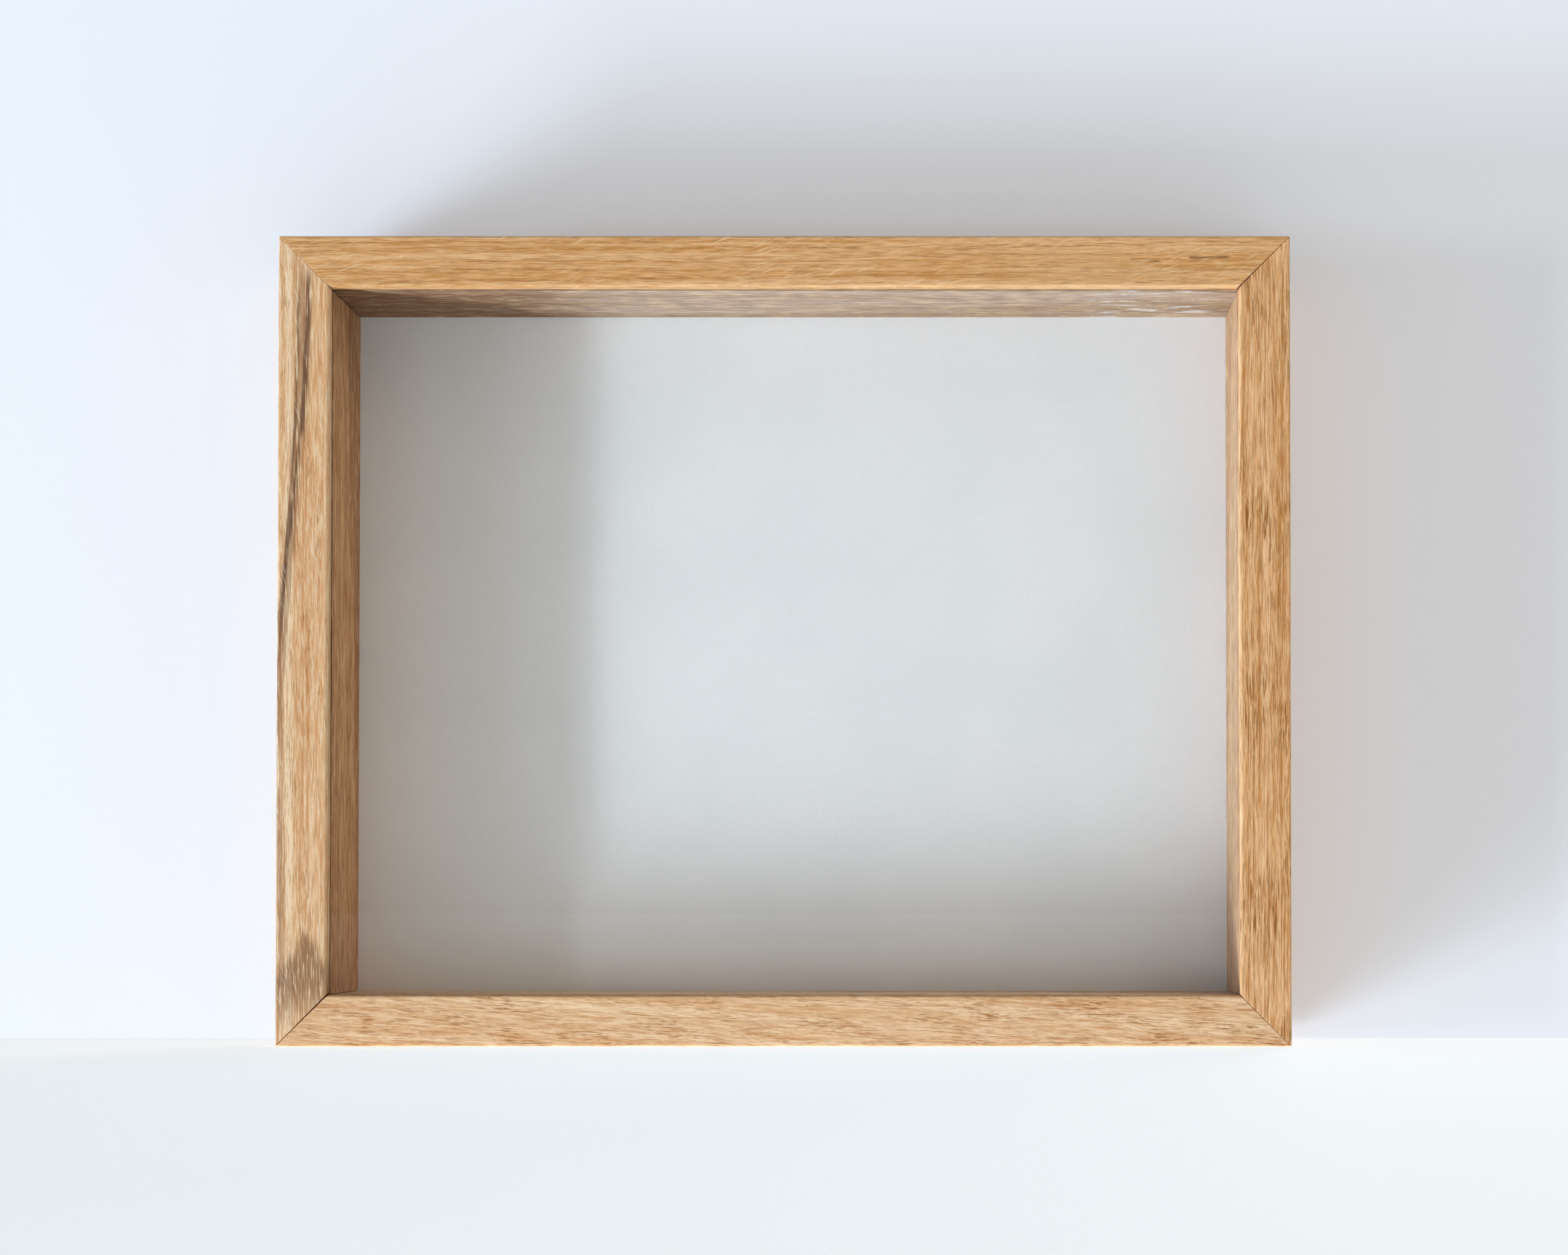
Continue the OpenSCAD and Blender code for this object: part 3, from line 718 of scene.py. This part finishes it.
# around: outline points are a middle line's point plus the half width along a direction; across: a closed
# section from the hole's edge over the upper face, round the rim and back below, each point between hole and
# outline
def makeButton(node):
    low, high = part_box(node)
    tipX, tipZ = button["tips"][node]
    half = ((high.x - low.x) if tipX == 0 else (high.z - low.z)) / 2
    reach = ((high.z - low.z) if tipX == 0 else (high.x - low.x)) - 2 * half
    thick = high.y - low.y
    pivotX = (low.x + high.x) / 2 - tipX * reach / 2
    pivotZ = (low.z + high.z) / 2 - tipZ * reach / 2
    turn = np.radians(np.linspace(-90, 270, button["endPoints"], endpoint=False))
    direction = np.stack([np.sin(turn), np.cos(turn)], axis=-1)
    firstEnd, sidePoints = button["endPoints"] // 2, button["sidePoints"]     # the tip's end comes first
    steps = np.linspace(0, 1, sidePoints + 2)[1:-1]
    middle = np.concatenate([np.full(firstEnd, reach), (1 - steps) * reach,
                             np.zeros(firstEnd), steps * reach])
    spread = np.concatenate([direction[:firstEnd], np.repeat([[1.0, 0.0]], sidePoints, axis=0),
                             direction[firstEnd:], np.repeat([[-1.0, 0.0]], sidePoints, axis=0)])
    roll, burr, hole = button["rimRoll"], button["burr"], button["holeRadius"]
    near, inner, outer = button["loops"]
    arc = np.linspace(0, np.pi / 2, 6)
    section = [(0, 0, burr), (0, 0, thick - burr), (near, 0, thick)]
    section += [(inner, roll, thick), (outer, roll, thick)]
    section += [(1, roll * (1 - np.sin(a)), thick - roll * (1 - np.cos(a))) for a in arc]
    section += [(1, 0, burr), (1, burr, 0), (outer, burr, 0), (inner, burr, 0), (near, 0, 0)]
    section = np.array(section)
    share, inset, height = section[:, 0, None], section[:, 1, None], section[:, 2, None]
    outX = spread[None, :, 0] * (half - inset)
    outZ = middle[None, :] + spread[None, :, 1] * (half - inset)
    bearing = np.arctan2(outX, outZ)
    localX = hole * np.sin(bearing) * (1 - share) + outX * share
    localZ = hole * np.cos(bearing) * (1 - share) + outZ * share
    x = pivotX + localX * tipZ + localZ * tipX
    z = pivotZ + localZ * tipZ - localX * tipX
    points = np.stack([x, low.y + height + 0 * x, z], axis=-1)
    piece = meshFromGrid("steel_" + node, points, wrapRows=True, sharpAngle=50)
    standFor(piece, node, node, zincSteel)


for node in button["tips"]:
    makeButton(node)
print("turn buttons made")


# D-rings: nickel-plated wire bent to a D, its butt joint hidden in the strap's roll
ring = dict(wireRadius=1.1 * mm, bend=1.6 * mm, roundPoints=24)


# a round tube along a closed path in the ring's own plane: bar, leg, bow, leg, with bent corners. The plane
# leans out from the back, hinged on the bar
def makeRing(side):
    low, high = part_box("d_ring_" + side)
    wire, bend = ring["wireRadius"], ring["bend"]
    bow = (high.x - low.x) / 2 - wire
    down = (high.z - low.z) - 2 * wire
    out = (high.y - low.y) - 2 * wire
    reach = math.hypot(down, out)
    lean = math.atan2(out, down)
    leg = reach - bow
    path = np.concatenate([
        linePoints((-bow + bend, 0), (bow - bend, 0), 16),
        arcPoints((bow - bend, -bend), bend, 90, 0, 10),
        linePoints((bow, -bend), (bow, -leg), 8),
        arcPoints((0, -leg), bow, 0, -180, 48),
        linePoints((-bow, -leg), (-bow, -bend), 8),
        arcPoints((-bow + bend, -bend), bend, 180, 90, 10),
    ])
    tangent = np.roll(path, -1, axis=0) - np.roll(path, 1, axis=0)
    tangent /= np.linalg.norm(tangent, axis=1)[:, None]
    aside = np.stack([tangent[:, 1], -tangent[:, 0]], axis=-1)
    turn = np.linspace(0, 2 * np.pi, ring["roundPoints"], endpoint=False)
    flat = path[:, None, :] + aside[:, None, :] * wire * np.cos(turn)[None, :, None]
    thick = wire * np.sin(turn)[None, :] + 0 * flat[:, :, 0]
    x = (low.x + high.x) / 2 + flat[:, :, 0]
    y = low.y + wire + thick * math.cos(lean) - flat[:, :, 1] * math.sin(lean)
    z = high.z - wire + thick * math.sin(lean) + flat[:, :, 1] * math.cos(lean)
    piece = meshFromGrid("steel_d_ring_" + side, np.stack([x, y, z], axis=-1), wrapRows=True, sharpAngle=80)
    standFor(piece, "d_ring_" + side, "d_ring_" + side, nickelSteel)


for side in ("left", "right"):
    makeRing(side)
print("D-rings made")


# bumpers: moulded rubber buttons with a rounded rim and a slightly dished top
bumper = dict(
    rim=1.6 * mm,
    flare=0.25 * mm,            # the foot is wider by this, over its own height
    foot=0.5 * mm,
    dish=0.15 * mm,
    hollow=0.2,                 # share of the radius where the underside and the top each end in a flat face
    crown=0.12,
    roundPoints=48,
)


# a profile of (radius, height) points turned about the bumper's axis
def makeBumper(node, material):
    low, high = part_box(node)
    radius = (high.x - low.x) / 2
    tall = high.y - low.y
    rim, flare, foot, dish = bumper["rim"], bumper["flare"], bumper["foot"], bumper["dish"]
    flatTop = radius - flare - rim
    profile = np.concatenate([
        linePoints((bumper["hollow"] * radius, 0), (radius, 0), 5),
        linePoints((radius, 0), (radius - flare, foot), 2),
        linePoints((radius - flare, foot), (radius - flare, tall - rim), 5),
        arcPoints((flatTop, tall - rim), rim, 0, 90, 9),
        linePoints((flatTop, tall), (bumper["crown"] * radius, tall), 8),
        [[bumper["crown"] * radius, tall]],
    ])
    dip = dish * np.clip(1 - profile[:, 0] / flatTop, 0, 1) * (profile[:, 1] > tall - 0.01 * mm)
    turn = np.linspace(0, 2 * np.pi, bumper["roundPoints"], endpoint=False)
    x = (low.x + high.x) / 2 + profile[:, 0, None] * np.cos(turn)
    z = (low.z + high.z) / 2 + profile[:, 0, None] * np.sin(turn)
    y = low.y + (profile[:, 1] - dip)[:, None] + 0 * x
    piece = meshFromGrid("rubber_" + node, np.stack([x, y, z], axis=-1), capEnds=True)
    standFor(piece, node, "frame", material)


rubber = rubberMaterial()
for node in ("bumper_top_left", "bumper_top_right", "bumper_bottom_left", "bumper_bottom_right"):
    makeBumper(node, rubber)
print("bumpers made")


# the camera stands right of the middle and low, nearly square to the front
camera = dict(side=68.2 * mm, height=52.6 * mm, distance=850 * mm, sensor=36, lens=51.383, pitch=0.9,
              shiftX=-0.1142, shiftY=0.1564)
camData = bpy.data.cameras.new("camera")
camData.sensor_width = camera["sensor"]
camData.lens = camera["lens"]
camData.shift_x = camera["shiftX"]
camData.shift_y = camera["shiftY"]
camObject = bpy.data.objects.new("camera", camData)
camObject.location = (camera["side"], frontY - camera["distance"], camera["height"])
camObject.rotation_euler = (math.radians(90 + camera["pitch"]), 0, 0)
scene.collection.objects.link(camObject)
scene.camera = camObject


def plane(name, corners, material):
    mesh = bpy.data.meshes.new(name)
    mesh.from_pydata(corners, [], [(0, 1, 2, 3)])
    mesh.materials.append(material)
    piece = bpy.data.objects.new(name, mesh)
    scene.collection.objects.link(piece)
    return piece


def areaLight(name, place, target, width, height, power, colour):
    data = bpy.data.lights.new(name, "AREA")
    data.shape = "RECTANGLE"
    data.size, data.size_y = width, height
    data.energy = power
    data.color = toLinear(colour)[:3]
    lamp = bpy.data.objects.new(name, data)
    lamp.location = place
    lamp.rotation_euler = (Vector(target) - Vector(place)).to_track_quat("-Z", "Y").to_euler()
    scene.collection.objects.link(lamp)


# the wall and floor, the window in tall narrow panes, and the plain lamps; metres and watts
stage = dict(
    reach=20.0, wallTones=("#e2e3e8", "#e0e1e6"), mottle=(160, 160, 160), roughness=0.9,
    wallGlow=("#f4f8fb", 0.2), floorGlow=("#ebf7ff", 0.72),
    worldLight=("#fff4e6", 0.15), backdrop=("#f3f6f8", 0.88),
    windowDistance=4.5, paneSize=(0.2, 0.7), paneColour="#d9ebff",
    # for each pane: how far left and how far down it is for one metre to the front, and its watts
    panes=[(2.0, 0.2, 42.0), (2.25, 1.0, 64.4), (2.25, 1.5, 52.1), (2.25, 2.1, 35.1), (2.6, 1.5, 40.4)],
    # for each lamp: its place, its size across, its watts and its colour
    lamps=dict(fill=((1.56, -1.3, 1.71), 1.4, 7.5, "#ffebcf"), ceiling=((0, -1.2, 2.6), 1.4, 2.4, "#ffebcf"),
               backFill=((0.9, 2.0, 0.55), 1.0, 14, "#fffaf2")),
)


def setGlow(shader, colour, strength):
    shader.inputs["Emission Color"].default_value = toLinear(colour)
    shader.inputs["Emission Strength"].default_value = strength


# matt painted plaster, seen from its front only, so that the box can be looked at from behind. It glows
# faintly, so that the shade on the wall stays pale
plaster, tree, shader = newMaterial("matPaintedPlaster")
mottle = grains(tree, placesInMm(tree), stage["mottle"], 2.0)
wallColour = tint(tree, mottle, *[toLinear(tone) for tone in stage["wallTones"]])
tree.links.new(wallColour, shader.inputs["Base Color"])
shader.inputs["Roughness"].default_value = stage["roughness"]
setGlow(shader, *stage["wallGlow"])
behind = addNode(tree, "ShaderNodeNewGeometry").outputs["Backfacing"]
oneSided = addNode(tree, "ShaderNodeMixShader", {0: behind, 1: shader.outputs[0],
                                                 2: addNode(tree, "ShaderNodeBsdfTransparent").outputs[0]})
tree.links.new(oneSided.outputs[0], tree.nodes["Material Output"].inputs[0])

# the floor glows more than the wall, so that it ends as pale as the lit wall
glowing = plaster.copy()
glowing.name = "litPaperSweep"
setGlow(glowing.node_tree.nodes["Principled BSDF"], *stage["floorGlow"])
reach = stage["reach"]
floorCorners = [(-reach, -reach, 0), (reach, -reach, 0), (reach, reach, 0), (-reach, reach, 0)]
floor = plane("floor", floorCorners, glowing)
floor.visible_shadow = False       # the window's light comes up past the floor
wallY = boxHigh.y
wallCorners = [(-reach, wallY, 0), (reach, wallY, 0), (reach, wallY, reach), (-reach, wallY, reach)]
wall = plane("wall", wallCorners, plaster)
wall.visible_shadow = wall.visible_diffuse = wall.visible_glossy = False     # light comes past it to the back

# a window low on the left, slanting away; its panes are narrow, so that the left rail's shadow has a crisp edge
middle = (0, 0, boxHeight / 2)
for number, (left, down, power) in enumerate(stage["panes"]):
    step = stage["windowDistance"] / math.sqrt(1 + left ** 2 + down ** 2)
    place = (-left * step, -step, boxHeight / 2 - down * step)
    areaLight("windowPane%d" % number, place, middle, *stage["paneSize"], power, stage["paneColour"])
for name, (place, size, power, colour) in stage["lamps"].items():
    areaLight(name, place, middle, size, size, power, colour)

# soft light from all round, a little warm; the camera itself sees a pale backdrop past the floor
world = bpy.data.worlds.new("world")
world.use_nodes = True
room = world.node_tree
light = room.nodes["Background"]
light.inputs[0].default_value = toLinear(stage["worldLight"][0])
light.inputs[1].default_value = stage["worldLight"][1]
seenColour, seenStrength = stage["backdrop"]
backdrop = addNode(room, "ShaderNodeBackground", {0: toLinear(seenColour), 1: seenStrength})
seen = addNode(room, "ShaderNodeLightPath").outputs["Is Camera Ray"]
both = addNode(room, "ShaderNodeMixShader", {0: seen, 1: light.outputs[0], 2: backdrop.outputs[0]})
room.links.new(both.outputs[0], room.nodes["World Output"].inputs[0])
scene.world = world
print("stage made")
